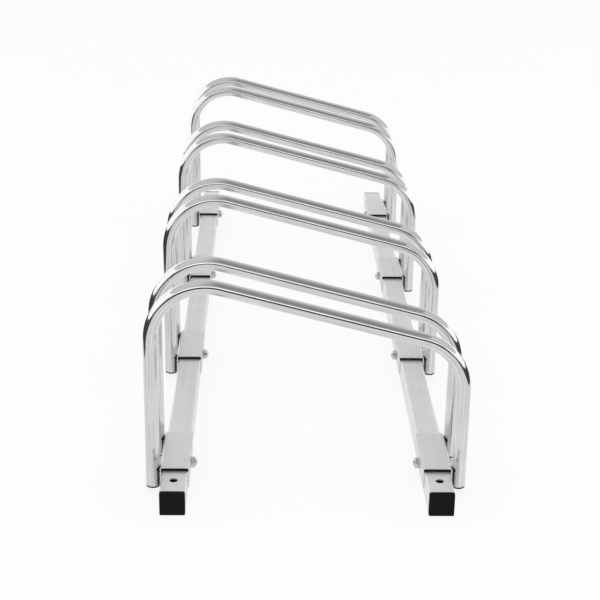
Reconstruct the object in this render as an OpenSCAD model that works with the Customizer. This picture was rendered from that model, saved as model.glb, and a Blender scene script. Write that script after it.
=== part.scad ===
// Floor bike rack for four bicycles.
// Two square rails lie on the floor and carry four pairs of bent tube hoops. A wheel stands
// between the two hoops of a pair. Each pair of legs is welded to a saddle, a folded channel
// that straddles the rail and is bolted through it.
// X runs across the rack with the tall side of the hoops at -X, Y runs along the rails from
// the front end to the rear end, and Z is up from the floor.

/* [Rails] */
// Length of a rail without its end plugs
rail_len = 1000; // [700:1:1600]
// Distance between the middle lines of the two rails
rail_spacing = 261; // [220:1:400]
// Outer width and height of the square rail tube
rail_w = 25; // [22:0.5:40]
// Wall of the rail tube
rail_t = 1.5; // [1:0.1:1.8]
// Outer corner radius of the rail tube
rail_r = 2; // [2:0.1:4]
// Diameter of the floor anchor holes, one near the front end of each rail
anchor_d = 8.2; // [5:0.1:10]
// Distance from a rail's front end to the middle of its anchor hole
anchor_inset = 22; // [20:0.5:26]

/* [Stations] */
// Length of rail in front of the first saddle
front_margin = 41; // [34:1:150]
// Length of rail behind the last saddle
rear_margin = 46; // [34:1:150]
// Clear width for the wheel between the two hoops of a pair
slot_w = 53; // [30:1:90]

/* [Hoops] */
// Height of a hoop's highest point above the floor
hoop_top = 224.5; // [200:1:400]
// Slope of the top bar, down towards the low side, in degrees
bar_tilt = 14.5; // [5:0.5:20]
// Radius of the bends, measured to the middle of the tube
bend_r = 54; // [30:1:60]
// Outer diameter of the hoop tube
tube_d = 14; // [10:0.5:20]
// Wall of the hoop tube
tube_t = 1.2; // [0.8:0.1:2]
// Height of the open leg ends above the floor
leg_foot = 6.3; // [3:0.1:9]

/* [Saddles] */
// Length by which a leg's tube stands out past the end of its saddle
leg_over = 1; // [0:0.1:1.2]
// Sheet thickness of a saddle
saddle_t = 1.5; // [1:0.1:2]
// Outer radius of a saddle's two folds
saddle_r = 2.5; // [2.1:0.1:3]
// Air between the top of the rail and the underside of the saddle
saddle_gap = 2.5; // [1:0.1:5]
// Air between the outer side of the rail and the saddle's outer wall
saddle_play = 0.8; // [0:0.1:3]
// Height of the saddle walls' lower edges above the floor
saddle_foot = 7; // [3:0.5:8]

/* [Weld beads] */
// Gap left between a leg and the saddle wall, which the beads bridge
weld_root = 0.1; // [0.05:0.05:0.2]
// Distance from the line of contact to a bead's inner edge
weld_in = 2.2; // [1.5:0.1:2.5]
// Distance from the line of contact to a bead's outer edge
weld_out = 5.8; // [5:0.1:6]
// Width of a bead's face, measured square to the wall
weld_rise = 2.2; // [1.8:0.1:2.5]
// Length of saddle wall left bare above and below a bead
weld_end = 1.5; // [0.5:0.1:3]

/* [Bolts and cap nuts] */
// Thread diameter of the saddle bolts
bolt_d = 6; // [5:0.5:7]
// Height of the bolts above the floor
bolt_z = 14.5; // [13:0.5:16]
// Clearance all round a bolt in the rail and the saddle
bolt_play = 0.2; // [0.1:0.1:0.5]
// Width across the flats of the bolt heads and nuts
hex_af = 10; // [9:0.5:11]
// Height of a bolt head
head_h = 4; // [3:0.1:5]
// Height of a cap nut's hexagon
nut_h = 4.2; // [3.6:0.1:6]
// Height of a cap nut's dome
dome_h = 2.4; // [1.6:0.1:3]
// Length of thread inside a cap nut
thread_in = 4.8; // [2:0.1:5.2]
// Clearance all round a thread in its nut
thread_play = 0.1; // [0.05:0.05:0.2]
// Clearance between a bolt's tip and the end of the bore in its nut
thread_end = 0.3; // [0.1:0.1:0.4]
// Chamfer of the hexagons' corners
hex_c = 0.8; // [0.2:0.1:1.2]
// Chamfer of a bolt's tip
tip_c = 0.6; // [0.2:0.1:1]

/* [End plugs] */
// Thickness of a plug's head, which covers the tube's end
plug_head = 3.2; // [1:0.1:6]
// Chamfer round the plug head's outer face
plug_c = 0.6; // [0.2:0.1:0.9]
// Length of the plug's shank inside the tube
plug_depth = 14; // [10:0.5:14]
// Wall of the hollow shank
plug_t = 1.4; // [1:0.1:2]
// Depth of the fins that grip the tube
fin_depth = 1.2; // [0.5:0.1:2]
// Thickness of a fin
fin_t = 1; // [0.6:0.1:1.5]
// Clearance between the fins and the tube's inner wall
fin_play = 0.1; // [0.05:0.05:0.3]

/* [Hidden] */
$fn = 64;

// Number of wheel stations
stations = 4;
// Sides of the rack
left = -1;
right = 1;
// Ends of the rack
front = -1;
rear = 1;
// Overrun of every cut past the faces it opens
over = 1;
// The bar is drawn this much slimmer on every face than the bends, and sinks this far into
// them, so that the ends of the bar lie wholly inside the walls of the bends
seam_step = 0.01;
seam_sink = 0.3;

tube_r = tube_d / 2;
leg_spacing = slot_w + tube_d;
saddle_len = leg_spacing + tube_d - 2 * leg_over;
station_pitch = (rail_len - front_margin - saddle_len - rear_margin) / (stations - 1);
rail_r_in = rail_r - rail_t;

// Distances from a rail's middle line out to the saddle's outer wall and to the legs, and in
// to the saddle's inner wall, which the bolt draws against the rail
wall_out = rail_w / 2 + saddle_play + saddle_t;
wall_in = rail_w / 2 + saddle_t;
leg_out = wall_out + weld_root + tube_r;
saddle_top = rail_w + saddle_gap + saddle_t;

// The hoop's centre line: bend centres and the ends of the sloping bar
leg_x = rail_spacing / 2 + leg_out;
turn_high = 90 + bar_tilt;
turn_low = 90 - bar_tilt;
high_centre = [-leg_x + bend_r, hoop_top - tube_r - bend_r];
high_corner_z = high_centre[1] + bend_r * tan(turn_high / 2);
low_corner_z = high_corner_z - 2 * leg_x * tan(bar_tilt);
low_centre = [leg_x - bend_r, low_corner_z - bend_r * tan(turn_low / 2)];
bar_normal = [cos(turn_low), sin(turn_low)];
bar_start = high_centre + bend_r * bar_normal;
bar_end = low_centre + bend_r * bar_normal;
bar_len = norm(bar_end - bar_start);

hex_r = hex_af / 2 / cos(30);
bolt_len = wall_out + wall_in + thread_in;
dome_base_r = hex_af / 2;
dome_r = (dome_base_r * dome_base_r + dome_h * dome_h) / (2 * dome_h);
nut_bore = thread_in + thread_end;
fins = 3;

function station_y(i) = front_margin - rail_len / 2 + i * station_pitch;
function hoop_y(i, end) = station_y(i) + saddle_len / 2 + end * leg_spacing / 2;

// A square outline with round corners
module round_square(w, r) {
    square([w - 2 * r, w], center = true);
    square([w, w - 2 * r], center = true);
    for (x = [-1, 1], y = [-1, 1])
        translate([x * (w / 2 - r), y * (w / 2 - r)]) circle(r = r);
}

// Puts what is drawn round a rail's middle line, with outwards as +X, on one side of the rack
module on_side(side) {
    translate([side * rail_spacing / 2, 0, 0])
        if (side == left) mirror([1, 0, 0]) children();
        else children();
}

// Puts a fastener, drawn along +Z from the origin, at every bolt of one side, pointing inwards
// from a distance out of the rail's middle line
module at_bolts(side, x) {
    on_side(side)
        for (i = [0 : stations - 1])
            translate([x, station_y(i) + saddle_len / 2, bolt_z]) rotate([0, -90, 0]) children();
}

module rail(side) {
    color([0.76, 0.77, 0.78])
        on_side(side) difference() {
            translate([0, rail_len / 2, rail_w / 2]) rotate([90, 0, 0]) linear_extrude(rail_len)
                difference() {
                    round_square(rail_w, rail_r);
                    round_square(rail_w - 2 * rail_t, rail_r_in);
                }
            translate([0, anchor_inset - rail_len / 2, -over])
                cylinder(d = anchor_d, h = rail_w + 2 * over);
            for (i = [0 : stations - 1])
                translate([-rail_w / 2 - over, station_y(i) + saddle_len / 2, bolt_z])
                    rotate([0, 90, 0]) cylinder(d = bolt_d + 2 * bolt_play, h = rail_w + 2 * over);
        }
}

// The head's side view: its outer face is chamfered
module plug_profile() {
    polygon([
        [-rail_w / 2, 0], [rail_w / 2, 0], [rail_w / 2, plug_c - plug_head],
        [rail_w / 2 - plug_c, -plug_head], [plug_c - rail_w / 2, -plug_head],
        [-rail_w / 2, plug_c - plug_head]
    ]);
}

// An end plug, with the mouth of the tube at the origin and the shank along +Z
module plug() {
    bore = rail_w - 2 * rail_t - 2 * fin_play;
    shank = bore - 2 * fin_depth;
    fin_step = (plug_depth - fin_t) / fins;
    intersection() {
        translate([0, 0, -plug_head]) linear_extrude(plug_head) round_square(rail_w, rail_r);
        rotate([90, 0, 0]) linear_extrude(rail_w, center = true) plug_profile();
        rotate([90, 0, 90]) linear_extrude(rail_w, center = true) plug_profile();
    }
    linear_extrude(plug_depth) difference() {
        square(shank, center = true);
        square(shank - 2 * plug_t, center = true);
    }
    for (k = [1 : fins])
        translate([0, 0, k * fin_step]) linear_extrude(fin_t) difference() {
            round_square(bore, rail_r_in);
            square(shank - plug_t, center = true);
        }
}

module end_plug(side, end) {
    color([0.09, 0.09, 0.10])
        translate([side * rail_spacing / 2, end * rail_len / 2, rail_w / 2])
            rotate([end * 90, 0, 0]) plug();
}

// The tube's cross-section, slimmer on both faces by less
module tube_ring(less = 0) {
    difference() {
        circle(r = tube_r - less);
        circle(r = tube_r - tube_t + less);
    }
}

// One hoop is a single tube: up the high leg, round the sharp bend, down the sloping bar, round
// the easy bend and down the low leg
module hoop(i, end) {
    color([0.80, 0.81, 0.82])
        translate([0, hoop_y(i, end), 0]) {
            translate([-leg_x, 0, leg_foot]) linear_extrude(high_centre[1] - leg_foot) tube_ring();
            translate([high_centre[0], 0, high_centre[1]]) rotate([90, 0, 0])
                rotate_extrude(angle = turn_high, start = turn_low)
                    translate([bend_r, 0]) tube_ring();
            translate([bar_start[0], 0, bar_start[1]]) rotate([0, turn_high, 0])
                translate([0, 0, -seam_sink]) linear_extrude(bar_len + 2 * seam_sink)
                    tube_ring(seam_step);
            translate([low_centre[0], 0, low_centre[1]]) rotate([90, 0, 0])
                rotate_extrude(angle = turn_low, start = 0)
                    translate([bend_r, 0]) tube_ring();
            translate([leg_x, 0, leg_foot]) linear_extrude(low_centre[1] - leg_foot) tube_ring();
        }
}

// A channel's outline, open at the bottom, with folds of radius r at its top corners
module channel(x_in, x_out, bottom, top, r) {
    translate([-x_in, bottom]) square([x_in + x_out, top - r - bottom]);
    translate([r - x_in, bottom]) square([x_in + x_out - 2 * r, top - bottom]);
    for (x = [r - x_in, x_out - r])
        translate([x, top - r]) circle(r = r);
}

// The two weld beads that hold one leg to the outer wall, in plan
module bead_outline() {
    difference() {
        for (s = [-1, 1])
            polygon([
                [-saddle_t / 2, s * weld_in], [-saddle_t / 2, s * weld_out], [0, s * weld_out],
                [weld_rise, s * (weld_out - weld_rise)], [weld_rise, s * weld_in]
            ]);
        translate([weld_root + tube_r, 0]) circle(r = tube_r);
    }
}

module saddle(side, i) {
    bead_h = saddle_top - saddle_r - saddle_foot - 2 * weld_end;
    color([0.74, 0.75, 0.76])
        on_side(side) translate([0, station_y(i), 0]) {
            difference() {
                translate([0, saddle_len, 0]) rotate([90, 0, 0]) linear_extrude(saddle_len)
                    difference() {
                        channel(wall_in, wall_out, saddle_foot, saddle_top, saddle_r);
                        channel(
                            wall_in - saddle_t, wall_out - saddle_t, saddle_foot - over,
                            saddle_top - saddle_t, saddle_r - saddle_t
                        );
                    }
                translate([-wall_in - over, saddle_len / 2, bolt_z]) rotate([0, 90, 0])
                    cylinder(d = bolt_d + 2 * bolt_play, h = wall_in + wall_out + 2 * over);
            }
            for (end = [front, rear])
                translate([wall_out, saddle_len / 2 + end * leg_spacing / 2, saddle_foot + weld_end])
                    linear_extrude(bead_h) bead_outline();
        }
}

// A hexagon prism standing on the origin, its upper corners chamfered
module hexagon(h) {
    intersection() {
        cylinder(r = hex_r, h = h, $fn = 6);
        rotate_extrude() polygon([
            [0, 0], [hex_r, 0], [hex_r, h - hex_c / 2], [hex_r - hex_c, h], [0, h]
        ]);
    }
}

// A bolt with the underside of its head at the origin and its shank along +Z
module bolt() {
    mirror([0, 0, 1]) hexagon(head_h);
    cylinder(d = bolt_d, h = bolt_len - tip_c);
    translate([0, 0, bolt_len - tip_c]) cylinder(d1 = bolt_d, d2 = bolt_d - 2 * tip_c, h = tip_c);
}

module saddle_bolts(side) {
    color([0.70, 0.71, 0.72]) at_bolts(side, wall_out) bolt();
}

// A low cap nut: a chamfered hexagon with a shallow dome, threaded from below
module cap_nut() {
    difference() {
        union() {
            hexagon(nut_h);
            intersection() {
                translate([0, 0, nut_h + dome_h - dome_r]) sphere(r = dome_r);
                translate([0, 0, nut_h - hex_c]) cylinder(r = dome_base_r - hex_c, h = dome_h + hex_c);
            }
        }
        translate([0, 0, -over]) cylinder(d = bolt_d + 2 * thread_play, h = nut_bore + over);
    }
}

module cap_nuts(side) {
    color([0.80, 0.81, 0.82]) at_bolts(side, -wall_in) cap_nut();
}

rail(left);  // rail_left
rail(right);  // rail_right
end_plug(left, front);  // end_plug_front_left
end_plug(right, front);  // end_plug_front_right
end_plug(left, rear);  // end_plug_rear_left
end_plug(right, rear);  // end_plug_rear_right
hoop(0, front);  // hoop_1_front
hoop(0, rear);  // hoop_1_rear
hoop(1, front);  // hoop_2_front
hoop(1, rear);  // hoop_2_rear
hoop(2, front);  // hoop_3_front
hoop(2, rear);  // hoop_3_rear
hoop(3, front);  // hoop_4_front
hoop(3, rear);  // hoop_4_rear
saddle(left, 0);  // saddle_left_1
saddle(left, 1);  // saddle_left_2
saddle(left, 2);  // saddle_left_3
saddle(left, 3);  // saddle_left_4
saddle(right, 0);  // saddle_right_1
saddle(right, 1);  // saddle_right_2
saddle(right, 2);  // saddle_right_3
saddle(right, 3);  // saddle_right_4
saddle_bolts(left);  // saddle_bolts_left
saddle_bolts(right);  // saddle_bolts_right
cap_nuts(left);  // cap_nuts_left
cap_nuts(right);  // cap_nuts_right
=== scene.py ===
"""Floor bike rack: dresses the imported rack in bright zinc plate, in metres, on a white studio floor."""

import math

import bpy
from mathutils import Euler, Matrix, Vector


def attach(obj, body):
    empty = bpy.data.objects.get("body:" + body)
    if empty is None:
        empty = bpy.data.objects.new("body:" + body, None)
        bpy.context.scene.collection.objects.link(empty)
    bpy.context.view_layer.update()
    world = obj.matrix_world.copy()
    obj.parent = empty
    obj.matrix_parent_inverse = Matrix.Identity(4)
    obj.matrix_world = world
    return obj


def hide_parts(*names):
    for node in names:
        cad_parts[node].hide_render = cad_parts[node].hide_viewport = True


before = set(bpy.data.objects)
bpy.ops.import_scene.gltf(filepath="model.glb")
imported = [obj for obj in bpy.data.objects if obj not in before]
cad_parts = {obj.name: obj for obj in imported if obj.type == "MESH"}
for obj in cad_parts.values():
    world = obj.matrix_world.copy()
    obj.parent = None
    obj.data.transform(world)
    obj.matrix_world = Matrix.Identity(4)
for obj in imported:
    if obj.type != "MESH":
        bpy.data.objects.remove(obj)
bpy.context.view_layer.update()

# ---------------------------------------------------------------- sizes, in metres
RAIL_MID = 0.1305  # from the rack's middle plane to a rail's middle
RAIL_TOP = 0.025
TUBE_R = 0.007
TUBE_WALL = 0.0012
LEG_X = 0.1524
LEG_FOOT = 0.0063
LEG_PITCH = 0.067  # between the two legs of a pair
SADDLE_LEN = 0.079
SADDLE_TOP = 0.029
SADDLE_UNDER = 0.0275  # underside of the saddle's top
SADDLE_FOOT = 0.007
SADDLE_FOLD = 0.0025
WALL_OUT = 0.0148  # from the rail's middle to the outer and the inner wall
WALL_IN = 0.0140
BOLT_Z = 0.0145
STATIONS = [-0.459, -0.181, 0.097, 0.375]  # the saddles' front edges
SIDES = {"left": -1.0, "right": 1.0}
ENDS = {"front": -1.0, "rear": 1.0}

BEND_R = 0.054
BAR_TILT = math.radians(14.5)
HIGH_CENTRE = Vector((-0.0984, 0.0, 0.1635))
LOW_CENTRE = Vector((0.0984, 0.0, 0.112604))
HIGH_TURN = math.pi / 2 + BAR_TILT
LOW_TURN = math.pi / 2 - BAR_TILT
BAR_UP = Vector((math.sin(BAR_TILT), 0.0, math.cos(BAR_TILT)))
BAR_ALONG = Vector((math.cos(BAR_TILT), 0.0, -math.sin(BAR_TILT)))
BAR_LEN = (LOW_CENTRE - HIGH_CENTRE).length


# ---------------------------------------------------------------- shader maths
class Value:
    """A shader socket that takes part in Python sums."""

    def __init__(self, tree, socket):
        self.tree, self.socket = tree, socket

    def _maths(self, operation, first, second):
        made = self.tree.node("ShaderNodeMath", {"operation": operation}, {0: first, 1: second})
        return made["Value"]

    def __add__(self, other):
        return self._maths("ADD", self, other)

    def __radd__(self, other):
        return self._maths("ADD", other, self)

    def __sub__(self, other):
        return self._maths("SUBTRACT", self, other)

    def __rsub__(self, other):
        return self._maths("SUBTRACT", other, self)

    def __mul__(self, other):
        return self._maths("MULTIPLY", self, other)

    def __rmul__(self, other):
        return self._maths("MULTIPLY", other, self)

    def __mod__(self, other):
        return self._maths("FLOORED_MODULO", self, other)

    def below(self, other):
        return self._maths("LESS_THAN", self, other)

    def most(self, other):
        return self._maths("MAXIMUM", self, other)

    def size(self):
        return self._maths("ABSOLUTE", self, 0.0)


class Outputs:
    """The outputs of one node, by name."""

    def __init__(self, tree, node):
        self.tree, self.raw = tree, node

    def __getitem__(self, name):
        return Value(self.tree, self.raw.outputs[name])


class Finish:
    """A material or world tree that nodes are added to one call at a time."""

    def __init__(self, name, world=False):
        self.owner = (bpy.data.worlds if world else bpy.data.materials).new(name)
        self.owner.use_nodes = True
        self.tree = self.owner.node_tree
        self.tree.nodes.clear()

    def node(self, kind, settings=None, values=None):
        made = self.tree.nodes.new(kind)
        for name, value in (settings or {}).items():
            setattr(made, name, value)
        for name, value in (values or {}).items():
            if isinstance(value, Value):
                self.tree.links.new(value.socket, made.inputs[name])
            else:
                made.inputs[name].default_value = value
        return Outputs(self, made)

    def place(self):
        return self.node("ShaderNodeTexCoord")["Object"]

    def stretched(self, where, scale, turn=(0, 0, 0)):
        values = {"Vector": where, "Scale": scale, "Rotation": turn}
        return self.node("ShaderNodeMapping", {}, values)["Vector"]

    def split(self, where):
        made = self.node("ShaderNodeSeparateXYZ", {}, {"Vector": where})
        return made["X"], made["Y"], made["Z"]

    def noise(self, where, scale, detail=3.0, rough=0.5):
        values = {"Vector": where, "Scale": scale, "Detail": detail, "Roughness": rough}
        return self.node("ShaderNodeTexNoise", {}, values)["Fac"]

    def ease(self, value, low, high, out_low=0.0, out_high=1.0):
        """A smooth step: out_low where the value is low, out_high where it is high."""
        return self.node(
            "ShaderNodeMapRange",
            {"interpolation_type": "SMOOTHSTEP"},
            {"Value": value, "From Min": low, "From Max": high, "To Min": out_low, "To Max": out_high},
        )["Result"]

    def blend(self, factor, first, second):
        """A colour between two; the node has sockets of one name for each type, so they go by number."""
        made = self.tree.nodes.new("ShaderNodeMix")
        made.data_type = "RGBA"
        for index, value in ((0, factor), (6, first), (7, second)):
            if isinstance(value, Value):
                self.tree.links.new(value.socket, made.inputs[index])
            else:
                made.inputs[index].default_value = value
        return Value(self, made.outputs[2])

    def bump(self, height, strength, distance):
        values = {"Height": height, "Strength": strength, "Distance": distance}
        return self.node("ShaderNodeBump", {}, values)["Normal"]

    def shell(self, settings):
        made = self.node("ShaderNodeBsdfPrincipled", {}, settings)
        self.node("ShaderNodeOutputMaterial", {}, {"Surface": made["BSDF"]})
        return self.owner


def grey(level):
    """A metal's grey, a trace cooler than neutral."""
    return (level, level, level * 1.008, 1.0)


def even(level):
    """A neutral light level."""
    return (level, level, level, 1.0)


# ---------------------------------------------------------------- finishes
def drawn_zinc(name, colour, rough, mottle):
    """Bright zinc on drawn steel: clouds, fine lines along Y, faint scuffs, and painted shade in the gap
    under the saddles.
    """
    m = Finish(name)
    where = m.place()
    x, y, z = m.split(where)
    cloud = m.noise(where, 42.0, 4.0, 0.6)
    lines = m.noise(m.stretched(where, (900, 18, 900)), 1.0, 2.0)
    streaks = m.noise(m.stretched(where, (420, 5, 420)), 1.0, 2.0)
    specks = m.noise(where, 900.0, 2.0, 0.7)
    scuff = m.ease(m.noise(m.stretched(where, (160, 60, 260), (0.4, 0.2, 0.7)), 1.0, 2.0), 0.66, 0.74)
    worn = grey(colour * 0.86)
    tone = m.blend(m.ease(cloud, 0.32, 0.70), grey(colour * (1.0 - mottle)), grey(colour))
    tone = m.blend(scuff * 0.35, tone, worn)
    tone = m.blend(m.ease(streaks, 0.55, 0.75) * 0.5, tone, worn)
    # Painted shade: the gap between the saddle's walls, from the rail's top to the saddle's underside, is
    # painted near black
    into_station = (y - STATIONS[0]) % (STATIONS[1] - STATIONS[0])
    between = m.ease((x.size() - RAIL_MID).size(), WALL_IN - 0.0001, WALL_IN - 0.0004)
    above_rail = m.ease(z, RAIL_TOP - 0.0010, RAIL_TOP - 0.0006)
    under_saddle = m.ease(z, SADDLE_UNDER + 0.0006, SADDLE_UNDER + 0.0002)
    gap_shade = into_station.below(SADDLE_LEN) * between * above_rail * under_saddle
    return m.shell(
        {
            "Base Color": m.blend(gap_shade * 0.97, tone, grey(0.01)),
            "Metallic": 0.82 * (1.0 - gap_shade),
            "Roughness": m.ease(cloud, 0.30, 0.72, rough + 0.05, rough - 0.04) + scuff * 0.08 + gap_shade * 0.3,
            "Normal": m.bump(lines * 0.6 + specks * 0.4, 0.10, 0.0003),
        }
    )


def tube_zinc():
    """Polished zinc on the bent tube: the lines follow the tube through its bends."""
    m = Finish("hoop_bright_zinc")
    where = m.place()
    height = m.split(where)[2]
    around, along, _ = m.split(m.node("ShaderNodeUVMap", {"uv_map": "tube"})["UV"])
    path = m.node("ShaderNodeCombineXYZ", {}, {"X": around * 30.0, "Y": along * 9.0, "Z": 0.0})["Vector"]
    lines = m.noise(path, 1.0, 3.0, 0.6)
    cloud = m.noise(where, 30.0, 3.0, 0.55)
    tone = m.blend(m.ease(cloud, 0.30, 0.72), grey(0.60), grey(0.66))
    tone = m.blend(m.ease(lines, 0.52, 0.66) * 0.7, tone, grey(0.46))
    tone = m.blend(m.ease(lines, 0.47, 0.33) * 0.7, tone, grey(0.84))
    # Heat marks on the side that faces the saddle, painted near black as shade of the joint, and painted
    # shade at the leg's end
    inward = m.ease(((around + 0.5) % 1.0 - 0.5).size(), 0.30, 0.42)
    patchy = m.ease(m.noise(where, 260.0, 2.0), 0.25, 0.55)
    heat_and_shade = m.ease(height, SADDLE_TOP + 0.0002, SADDLE_TOP - 0.0028) * inward * patchy
    tone = m.blend(heat_and_shade * 0.9, tone, (0.05, 0.049, 0.047, 1.0))
    foot_shade = m.ease(height, LEG_FOOT + 0.0022, LEG_FOOT + 0.0012)
    return m.shell(
        {
            "Base Color": m.blend(foot_shade, tone, (0.022, 0.022, 0.024, 1.0)),
            "Metallic": 1.0,
            "Roughness": m.ease(cloud, 0.3, 0.7, 0.12, 0.075) + heat_and_shade * 0.14,
            "Normal": m.bump(lines, 0.05, 0.0002),
        }
    )


def bead_zinc():
    """Zinc over a weld: duller and darker than the tube, mottled by a fine grain, burnt black at its upper
    end, the black also painted shade of the crevice there.
    """
    m = Finish("weld_bead_zinc")
    where = m.place()
    grain = m.noise(where, 700.0, 4.0, 0.7)
    tone = m.blend(m.ease(grain, 0.35, 0.65), (0.07, 0.068, 0.064, 1.0), (0.26, 0.255, 0.245, 1.0))
    # Painted shade: above this line the bead goes near black, for the crevice by the saddle's fold
    burnt_and_shade = m.ease(m.split(where)[2], 0.0225, 0.0240)
    return m.shell(
        {
            "Base Color": m.blend(burnt_and_shade, tone, grey(0.006)),
            "Metallic": 1.0 - burnt_and_shade,
            "Roughness": m.ease(grain, 0.3, 0.7, 0.45, 0.30) + burnt_and_shade * 0.3,
            "Normal": m.bump(grain, 0.35, 0.0003),
        }
    )


def fastener_zinc(name, colour, rough):
    """Barrel-plated fastener: bright, with the tumbling's small dents."""
    m = Finish(name)
    where = m.place()
    dents = m.noise(where, 520.0, 2.0, 0.5)
    grain = m.noise(where, 2400.0, 2.0, 0.6)
    return m.shell(
        {
            "Base Color": m.blend(m.ease(dents, 0.35, 0.68), grey(colour * 0.84), grey(colour)),
            "Metallic": 1.0,
            "Roughness": m.ease(grain, 0.3, 0.7, rough + 0.05, rough - 0.03),
            "Normal": m.bump(dents + grain * 0.3, 0.12, 0.0003),
        }
    )


def plug_plastic():
    """Black moulded polyethylene: satin, finely grained, greyer where feet have rubbed it."""
    m = Finish("end_plug_plastic")
    where = m.place()
    grain = m.noise(where, 1600.0, 3.0, 0.6)
    rubbed = m.ease(m.noise(where, 120.0, 3.0, 0.6), 0.55, 0.78)
    return m.shell(
        {
            "Base Color": m.blend(rubbed * 0.5, grey(0.0030), grey(0.0055)),
            "Roughness": m.ease(grain, 0.3, 0.7, 0.52, 0.40) + rubbed * 0.08,
            "Normal": m.bump(grain, 0.18, 0.0002),
            "Specular IOR Level": 0.11,
        }
    )


RAIL_FINISH = drawn_zinc("rail_zinc_plate", 0.80, 0.44, 0.05)
SADDLE_FINISH = drawn_zinc("saddle_zinc_plate", 0.76, 0.46, 0.04)
HOOP_FINISH = tube_zinc()
BEAD_FINISH = bead_zinc()
NUT_FINISH = fastener_zinc("cap_nut_zinc", 0.62, 0.20)
BOLT_FINISH = fastener_zinc("bolt_zinc", 0.66, 0.24)
PLUG_FINISH = plug_plastic()


# ---------------------------------------------------------------- modelling helpers
def only(piece):
    """Selects one piece and nothing else, outside edit mode."""
    if bpy.context.object and bpy.context.object.mode != "OBJECT":
        bpy.ops.object.mode_set(mode="OBJECT")
    bpy.ops.object.select_all(action="DESELECT")
    if piece:
        piece.select_set(True)
        bpy.context.view_layer.objects.active = piece


def begin(shape, name, **where):
    """A new primitive with its place in its mesh."""
    only(None)
    getattr(bpy.ops.mesh, "primitive_%s_add" % shape)(**where)
    piece = bpy.context.object
    piece.name = piece.data.name = name
    bpy.ops.object.transform_apply(location=True, rotation=True, scale=True)
    return piece


def edit(piece):
    only(piece)
    bpy.ops.object.mode_set(mode="EDIT")
    bpy.ops.mesh.select_all(action="SELECT")


def settle(piece, finish, angle=30.0):
    """Leaves edit mode, applies the modifiers and gives the piece its finish."""
    only(piece)
    for modifier in list(piece.modifiers):
        bpy.ops.object.modifier_apply(modifier=modifier.name)
    bpy.ops.object.shade_smooth_by_angle(angle=math.radians(angle))
    piece.data.materials.clear()
    piece.data.materials.append(finish)


def join(pieces, name):
    only(pieces[0])
    for other in pieces[1:]:
        other.select_set(True)
    bpy.ops.object.join()
    pieces[0].name = pieces[0].data.name = name
    return pieces[0]


def copied(piece, name, matrix):
    """A copy with its own mesh, its place in the mesh."""
    twin = piece.copy()
    twin.data = piece.data.copy()
    twin.name = twin.data.name = name
    bpy.context.scene.collection.objects.link(twin)
    twin.data.transform(matrix)
    return twin


def leg_y(start_y, toward):
    """Where a pair's front or rear leg stands, from the front edge of its saddles."""
    return start_y + SADDLE_LEN / 2 + toward * LEG_PITCH / 2


# ---------------------------------------------------------------- hoops
def tube_place(point):
    """Distance along a hoop's centre line, and the centre line's point and outward direction there."""
    flat = Vector((point.x, 0.0, point.z))
    leg = HIGH_CENTRE.z - LEG_FOOT
    after_high = leg + HIGH_TURN * BEND_R
    bar_from = HIGH_CENTRE + BAR_UP * BEND_R
    down = (flat - bar_from).dot(BAR_ALONG)
    if flat.x < HIGH_CENTRE.x and flat.z < HIGH_CENTRE.z:
        return flat.z - LEG_FOOT, Vector((-LEG_X, 0.0, flat.z)), Vector((-1.0, 0.0, 0.0))
    if flat.x > LOW_CENTRE.x and flat.z < LOW_CENTRE.z:
        past = after_high + BAR_LEN + LOW_TURN * BEND_R + LOW_CENTRE.z - flat.z
        return past, Vector((LEG_X, 0.0, flat.z)), Vector((1.0, 0.0, 0.0))
    if down < 0.0:
        out = (flat - HIGH_CENTRE).normalized()
        turned = math.atan2(out.z, -out.x) % (2 * math.pi)
        return leg + turned * BEND_R, HIGH_CENTRE + out * BEND_R, out
    if down > BAR_LEN:
        out = (flat - LOW_CENTRE).normalized()
        turned = math.atan2(out.x, out.z) - BAR_TILT
        return after_high + BAR_LEN + turned * BEND_R, LOW_CENTRE + out * BEND_R, out
    return after_high + down, bar_from + BAR_ALONG * down, BAR_UP


def map_tube(piece):
    """Writes the map that the drawn lines follow: round the tube, and along it in metres."""
    mesh = piece.data
    layer = mesh.uv_layers.new(name="tube")
    for face in mesh.polygons:
        turns = []
        for loop in face.loop_indices:
            point = mesh.vertices[mesh.loops[loop].vertex_index].co
            distance, middle, out = tube_place(point)
            arm = point - middle
            turns.append((loop, math.atan2(arm.y, arm.dot(out)) / (2 * math.pi), distance))
        if max(turn for _, turn, _ in turns) - min(turn for _, turn, _ in turns) > 0.5:
            turns = [(loop, turn + 1.0 if turn < 0.0 else turn, distance) for loop, turn, distance in turns]
        for loop, turn, distance in turns:
            layer.data[loop].uv = (turn, distance)
    for extra in [other for other in mesh.uv_layers if other.name != "tube"]:
        mesh.uv_layers.remove(extra)


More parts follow.
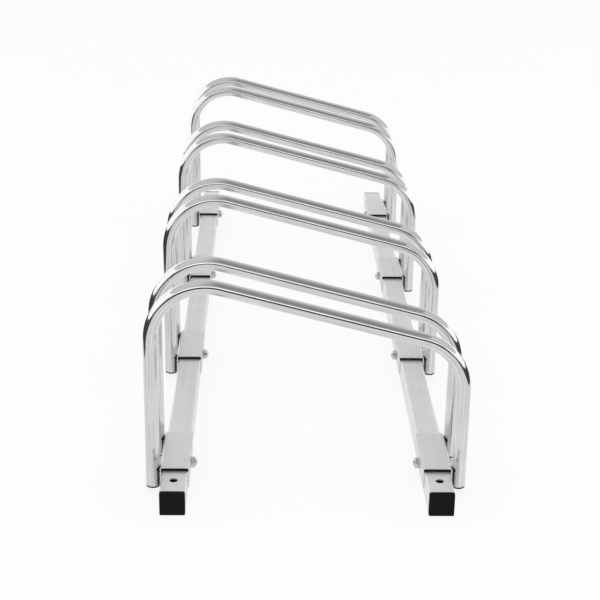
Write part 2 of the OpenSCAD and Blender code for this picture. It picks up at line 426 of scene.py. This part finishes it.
def make_hoop():
    """One tube: up the high leg, round the sharp bend, down the bar, round the easy bend and down."""
    rim_ring, weld_ring = 0.0004, 0.0246
    below_bend = LEG_FOOT + rim_ring + weld_ring
    hoop = begin("circle", "hoop_tube", vertices=48, radius=TUBE_R, location=(-LEG_X, 0.0, LEG_FOOT))
    edit(hoop)
    for rise in (rim_ring, weld_ring, HIGH_CENTRE.z - below_bend):
        bpy.ops.mesh.extrude_region_move(TRANSFORM_OT_translate={"value": (0, 0, rise)})
    bpy.ops.mesh.spin(steps=36, angle=-HIGH_TURN, center=HIGH_CENTRE, axis=(0, 1, 0))
    for _ in range(4):
        bpy.ops.mesh.extrude_region_move(TRANSFORM_OT_translate={"value": BAR_ALONG * (BAR_LEN / 4)})
    bpy.ops.mesh.spin(steps=26, angle=-LOW_TURN, center=LOW_CENTRE, axis=(0, 1, 0))
    for drop in (LOW_CENTRE.z - below_bend, weld_ring, rim_ring):
        bpy.ops.mesh.extrude_region_move(TRANSFORM_OT_translate={"value": (0, 0, -drop)})
    bpy.ops.mesh.select_all(action="SELECT")
    bpy.ops.mesh.remove_doubles(threshold=1e-6)
    bpy.ops.mesh.normals_make_consistent(inside=False)
    bpy.ops.object.mode_set(mode="OBJECT")
    if sum(face.normal.dot(face.center - tube_place(face.center)[1]) for face in hoop.data.polygons) < 0.0:
        hoop.data.flip_normals()
    wall = hoop.modifiers.new("wall", "SOLIDIFY")
    wall.thickness, wall.offset, wall.use_rim = TUBE_WALL, -1.0, True
    rim = hoop.modifiers.new("rim", "BEVEL")
    rim.width, rim.segments, rim.limit_method, rim.angle_limit = 0.00022, 2, "ANGLE", math.radians(60)
    settle(hoop, HOOP_FINISH)
    map_tube(hoop)
    return hoop


hoop_model = make_hoop()
for station, start_y in enumerate(STATIONS, 1):
    for end, toward in ENDS.items():
        node = "hoop_%d_%s" % (station, end)
        tube = copied(hoop_model, "bent_" + node, Matrix.Translation((0.0, leg_y(start_y, toward), 0.0)))
        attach(tube, "root")
        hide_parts(node)
bpy.data.objects.remove(hoop_model)


# ---------------------------------------------------------------- weld beads
def make_drop(name, centre, turn, size):
    """One drop of weld metal: a ball flattened to size, turned, and set at its centre."""
    drop = begin("uv_sphere", name, segments=16, ring_count=8, radius=1.0, location=(0.0, 0.0, 0.0))
    drop.data.transform(Matrix.Translation(centre) @ turn @ Matrix.Diagonal((*size, 1.0)))
    return drop


def make_beads():
    """The two rippled beads of one leg, its middle line at the origin and the saddle wall at -X."""
    first, last, pitch = SADDLE_FOOT + 0.0025, SADDLE_TOP - SADDLE_FOLD - 0.0015, 0.00135
    lean_up = Euler((0.0, math.radians(24.0), 0.0)).to_matrix().to_4x4()
    drops = []
    for side in (-1.0, 1.0):
        into_corner = Matrix.Rotation(side * math.radians(45.0), 4, "Z")
        for k in range(int((last - first) / pitch) + 1):
            wobble = 0.00012 * math.sin(2.3 * k + side)
            centre = (-0.00655 + wobble, side * (0.0050 + wobble), first + k * pitch)
            size = (0.00075, 0.00145 + wobble, 0.0011)
            drops.append(make_drop("bead_scale", centre, into_corner @ lean_up, size))
        centre = (-0.0060, side * 0.0052, 0.0252)
        drops.append(make_drop("bead_crater", centre, Matrix.Identity(4), (0.0014, 0.0017, 0.0011)))
    beads = join(drops, "leg_beads")
    settle(beads, BEAD_FINISH, 80.0)
    return beads


bead_model = make_beads()
for side_name, side in SIDES.items():
    facing = Matrix.Rotation(math.pi if side < 0 else 0.0, 4, "Z")
    leg_middle = side * (RAIL_MID + WALL_OUT + 0.0001 + TUBE_R)
    for station, start_y in enumerate(STATIONS, 1):
        row = []
        for toward in ENDS.values():
            place = Matrix.Translation((leg_middle, leg_y(start_y, toward), 0.0))
            row.append(copied(bead_model, "bead", place @ facing))
        beads = join(row, "weld_beads_%s_%d" % (side_name, station))
        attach(beads, "root")
bpy.data.objects.remove(bead_model)


# ---------------------------------------------------------------- cap nuts
def make_nut():
    """A low cap nut along +Z from its base: a chamfered hexagon under a shallow dome."""
    half_flats, height, dome, dome_r, sunk = 0.005, 0.0042, 0.0024, 0.0048, 0.0002
    nut = begin("cylinder", "nut_hexagon", vertices=6, radius=half_flats / math.cos(math.pi / 6),
                depth=height, location=(0.0, 0.0, height / 2))
    mesh = nut.data
    for vertex in mesh.vertices:
        vertex.select = vertex.co.z > height * 0.9
    for edge in mesh.edges:
        edge.select = all(mesh.vertices[v].select for v in edge.vertices)
    for face in mesh.polygons:
        face.select = face.normal.z > 0.9
    bpy.ops.object.mode_set(mode="EDIT")
    bpy.ops.mesh.inset(thickness=0.0007, depth=0.00025)
    bpy.ops.object.mode_set(mode="OBJECT")
    soften = nut.modifiers.new("edges", "BEVEL")
    soften.width, soften.segments = 0.00028, 3
    soften.limit_method, soften.angle_limit = "ANGLE", math.radians(25)
    only(nut)
    bpy.ops.object.modifier_apply(modifier="edges")
    ball_r = (dome_r ** 2 + (dome + sunk) ** 2) / (2 * (dome + sunk))
    cap = begin("uv_sphere", "nut_dome", segments=48, ring_count=48, radius=ball_r,
                location=(0.0, 0.0, height + dome - ball_r))
    edit(cap)
    bpy.ops.mesh.bisect(plane_co=(0.0, 0.0, height - sunk), plane_no=(0.0, 0.0, 1.0), use_fill=True,
                        clear_inner=True)
    nut = join([nut, cap], "domed_nut")
    settle(nut, NUT_FINISH, 40.0)
    return nut


nut_model = make_nut()
for side_name, side in SIDES.items():
    inward = Matrix.Rotation(-side * math.pi / 2, 4, "Y")
    row = []
    for start_y in STATIONS:
        tightened = Matrix.Rotation(0.5 * len(row) + 0.2 * side, 4, "Z")
        place = Matrix.Translation((side * (RAIL_MID - WALL_IN), start_y + SADDLE_LEN / 2, BOLT_Z))
        row.append(copied(nut_model, "nut", place @ inward @ tightened))
    nuts = join(row, "domed_nuts_" + side_name)
    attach(nuts, "root")
    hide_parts("cap_nuts_" + side_name)
bpy.data.objects.remove(nut_model)


# ---------------------------------------------------------------- finishes for the CAD nodes
def dress(node, finish):
    """Gives a CAD node its finish, smooth over its rounds and crisp at its edges."""
    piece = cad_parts[node]
    piece.data.materials.clear()
    piece.data.materials.append(finish)
    piece.data.polygons.foreach_set("use_smooth", [True] * len(piece.data.polygons))
    piece.modifiers.new("merge", "WELD").merge_threshold = 1e-6
    piece.modifiers.new("creases", "EDGE_SPLIT").split_angle = math.radians(32)


for side_name in SIDES:
    dress("rail_" + side_name, RAIL_FINISH)
    dress("saddle_bolts_" + side_name, BOLT_FINISH)
    for station in range(1, len(STATIONS) + 1):
        dress("saddle_%s_%d" % (side_name, station), SADDLE_FINISH)
    for end in ENDS:
        dress("end_plug_%s_%s" % (end, side_name), PLUG_FINISH)


# ---------------------------------------------------------------- studio
WORLD_LEVEL = 0.82
LAMP_AIM = (0.0, 0.0, 0.15)
# The walls' plan from the left, behind the camera and to the right: x, y and the heights of
# the floor line, the dark flat's top, the white strip's top and the grey wall's top
WALLS = [
    (-0.46, 1.20, 0.02, 0.02, 0.50, 0.50),
    (-0.46, 0.16, 0.02, 0.02, 0.50, 0.50),
    (-0.46, 0.10, 0.02, 0.19, 0.50, 0.50),
    (-0.46, -0.60, 0.02, 0.19, 0.50, 0.50),
    (-0.62, -1.00, 0.02, 0.28, 0.62, 0.80),
    (-1.00, -1.70, 0.00, 0.50, 1.00, 1.80),
    (-1.60, -2.40, 0.00, 0.78, 1.44, 2.60),
    (0.00, -2.40, 0.00, 0.78, 1.44, 2.60),
    (1.60, -2.40, 0.00, 0.78, 1.44, 2.60),
    (1.00, -1.70, 0.00, 0.50, 0.92, 1.90),
    (0.62, -1.00, 0.01, 0.23, 0.44, 1.10),
    (0.46, -0.60, 0.02, 0.14, 0.27, 0.70),
    (0.46, 0.10, 0.02, 0.14, 0.27, 0.70),
    (0.46, 0.16, 0.02, 0.02, 0.27, 0.70),
    (0.46, 1.20, 0.02, 0.02, 0.27, 0.70),
]


def build_floor():
    """A white floor that camera and reflections see nearly as plain white, with the rack's shadow on it."""
    floor = begin("plane", "studio_floor", size=60.0, location=(0.0, 0.0, 0.0))
    m = Finish("studio_floor_white")
    path = m.node("ShaderNodeLightPath")
    seen = path["Is Camera Ray"].most(path["Is Glossy Ray"]).most(path["Is Transmission Ray"])
    tint = m.noise(m.place(), 3.0, 2.0)
    paper = m.node("ShaderNodeBsdfDiffuse", {}, {"Color": m.blend(tint, grey(0.90), grey(0.93))})
    glow = m.node("ShaderNodeEmission", {}, {"Color": even(1.0), "Strength": 1.0})
    both = m.node("ShaderNodeMixShader", {}, {0: seen * 0.84, 1: paper["BSDF"], 2: glow["Emission"]})
    m.node("ShaderNodeOutputMaterial", {}, {"Surface": both["Shader"]})
    floor.data.materials.append(m.owner)


def hang(piece, m, tone, strength=1.0):
    """Makes a studio screen glow in its tone, seen by reflections only."""
    glow = m.node("ShaderNodeEmission", {}, {"Color": tone, "Strength": strength})
    m.node("ShaderNodeOutputMaterial", {}, {"Surface": glow["Emission"]})
    piece.data.materials.append(m.owner)
    piece.visible_camera = piece.visible_diffuse = piece.visible_shadow = False


def build_ceiling():
    """The ceiling card: brighter towards the rack's rear, and as bright as the room on the left."""
    width, depth, middle = 4.0, 5.8, (1.1, 0.08, 2.6)
    piece = begin("plane", "ceiling_card", size=1.0, location=(0.0, 0.0, 0.0))
    piece.data.transform(Matrix.Translation(middle) @ Matrix.Diagonal((width, depth, 1.0, 1.0)))
    m = Finish("ceiling_card_tone")
    x, y, _ = m.split(m.place())
    tone = m.blend(m.ease(y, -1.2, 2.8), even(0.36), even(0.90))
    hang(piece, m, m.blend(m.ease(x, 0.7, -0.6), tone, even(WORLD_LEVEL)))


def build_screen(name, level, side_level, low, strength=1.0):
    """A standing band of the walls, from height column low of WALLS to the next, paler at the sides."""
    last = len(WALLS) - 1
    piece = begin("grid", name, x_subdivisions=last, y_subdivisions=1, size=1.0, location=(0.0, 0.0, 0.0))
    for vertex in piece.data.vertices:
        column = WALLS[round((vertex.co.x + 0.5) * last)]
        vertex.co = (column[0], column[1], column[low + 1] if vertex.co.y > 0.0 else column[low])
    m = Finish(name + "_tone")
    x, y, _ = m.split(m.place())
    side = m.ease(y, -2.2, -0.6).most(m.ease(x, 0.3, -1.3))
    hang(piece, m, m.blend(side, even(level), even(side_level)), strength)


def lamp(name, radiance, size, location):
    """A softbox of the given radiance, which reflections leave to the white strip."""
    light = bpy.data.lights.new(name, "AREA")
    light.shape, light.size, light.size_y = "RECTANGLE", size[0], size[1]
    light.energy = radiance * size[0] * size[1] * math.pi
    holder = bpy.data.objects.new(name, light)
    holder.visible_glossy = False
    bpy.context.scene.collection.objects.link(holder)
    holder.location = location
    holder.rotation_euler = (Vector(LAMP_AIM) - Vector(location)).to_track_quat("-Z", "Y").to_euler()


def build_world():
    m = Finish("studio_world", world=True)
    back = m.node("ShaderNodeBackground", {}, {"Color": even(1.0), "Strength": WORLD_LEVEL})
    m.node("ShaderNodeOutputWorld", {}, {"Surface": back["Background"]})
    bpy.context.scene.world = m.owner


def build_camera():
    """The photograph's own viewpoint, solved from the rack's edges."""
    focal_px, photo_px, film = 1412.0, 600.0, 36.0
    pitch, yaw, roll = math.radians(21.082), math.radians(1.489), math.radians(0.918)
    ahead = Vector((math.sin(yaw) * math.cos(pitch), math.cos(yaw) * math.cos(pitch), -math.sin(pitch)))
    level_right = ahead.cross(Vector((0.0, 0.0, 1.0))).normalized()
    level_up = level_right.cross(ahead)
    right = level_right * math.cos(roll) + level_up * math.sin(roll)
    up = level_up * math.cos(roll) - level_right * math.sin(roll)
    turn = Matrix((right, up, -ahead)).transposed()
    data = bpy.data.cameras.new("photograph")
    data.sensor_width, data.lens = film, film * focal_px / photo_px
    data.clip_start, data.clip_end = 0.05, 100.0
    camera = bpy.data.objects.new("photograph", data)
    camera.matrix_world = Matrix.Translation((-0.04148, -1.70457, 0.68773)) @ turn.to_4x4()
    bpy.context.scene.collection.objects.link(camera)
    bpy.context.scene.camera = camera


build_floor()
build_world()
build_camera()
build_screen("dark_flat", 0.05, 0.07, 2)
build_screen("white_strip", 1.0, 1.0, 3, 1.5)
build_screen("grey_wall", 0.40, 0.78, 4)
build_ceiling()
lamp("back_softbox", 1.5, (3.6, 1.5), (0.0, -3.35, 1.85))
lamp("left_softbox", 1.2, (3.6, 1.4), (-3.1, 0.3, 1.10))
lamp("right_softbox", 1.2, (3.6, 1.4), (3.1, 0.3, 1.10))
bpy.context.scene.view_settings.view_transform = "Standard"
